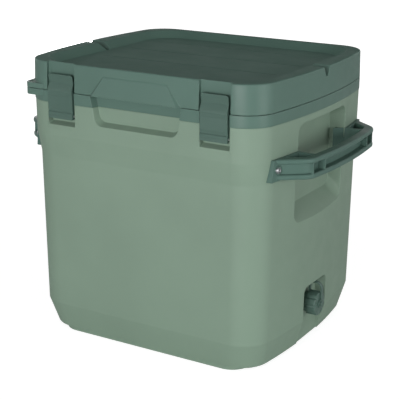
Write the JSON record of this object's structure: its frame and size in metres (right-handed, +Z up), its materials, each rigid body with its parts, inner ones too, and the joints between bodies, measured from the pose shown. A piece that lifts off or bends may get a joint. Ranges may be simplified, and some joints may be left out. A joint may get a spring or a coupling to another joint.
{
  "type": "hard cooler box",
  "caption": "Insulated hard cooler box with a hinged lid, pull-down front latches, bolted side carry handles and a capped drain.",
  "frame": {"origin": "on the surface the cooler stands on, under the middle of its body", "axes": "+X is the cooler's right side seen from the front, +Y is the back, +Z is up"},
  "size_m": [0.4988, 0.374, 0.427],
  "materials": {
    "shell": "lightly grained moulded plastic, sage green",
    "trim": "satin moulded plastic, deep grey green",
    "handle": "satin moulded plastic, dark green",
    "liner": "smooth food-safe plastic, off white",
    "foam": "rigid poured foam, cream",
    "seal": "soft black rubber",
    "steel": "bright stainless steel"
  },
  "bodies": {
    "cooler_body": {"outer_shell": "shell", "inner_liner": "liner", "rim_collar": "trim", "insulation_foam": "foam", "latch_pins": "steel", "hinge_leaf_body_right": "trim", "hinge_leaf_body_left": "trim", "hinge_pins": "steel", "hinge_screws_body": "steel", "side_handle_right": "handle", "side_handle_left": "handle", "handle_screws": "steel", "handle_inserts": "steel", "drain_spout": "handle", "drain_seal": "seal", "drain_nut": "handle"},
    "lid": {"lid_shell": "trim", "lid_liner": "liner", "lid_foam": "foam", "lid_gasket": "seal", "hinge_leaf_lid_right": "trim", "hinge_leaf_lid_left": "trim", "hinge_screws_lid": "steel"},
    "right_latch": {"latch_right": "trim"},
    "left_latch": {"latch_left": "trim"},
    "strap_eye": {"drain_tether": "handle"},
    "cap": {"drain_cap": "handle", "drain_cap_seal": "seal"}
  },
  "joints": [
    {"name": "lid_hinge", "type": "hinge", "parent": "cooler_body", "child": "lid", "pos_m": [0, 0.1826, 0.3849], "axis": [-1, 0, 0], "range_deg": [0, 100]},
    {"name": "latch_right_pivot", "type": "hinge", "parent": "cooler_body", "child": "right_latch", "pos_m": [0.1283, -0.1796, 0.3502], "axis": [1, 0, 0], "range_deg": [0, 110]},
    {"name": "latch_left_pivot", "type": "hinge", "parent": "cooler_body", "child": "left_latch", "pos_m": [-0.1283, -0.1796, 0.3502], "axis": [1, 0, 0], "range_deg": [0, 110]},
    {"name": "drain_cap_travel", "type": "slide", "parent": "cooler_body", "child": "strap_eye", "axis": [1, 0, 0], "range_m": [0, 0.012], "deforming": ["drain_tether"]},
    {"name": "drain_cap_turn", "type": "hinge", "parent": "strap_eye", "child": "cap", "pos_m": [0.211, 0, 0.0635], "axis": [1, 0, 0], "range_deg": [0, 1081]}
  ],
  "couplings": [
    {"joint": "drain_cap_turn", "follows": "drain_cap_travel", "rad_per_m": 1570.8}
  ]
}
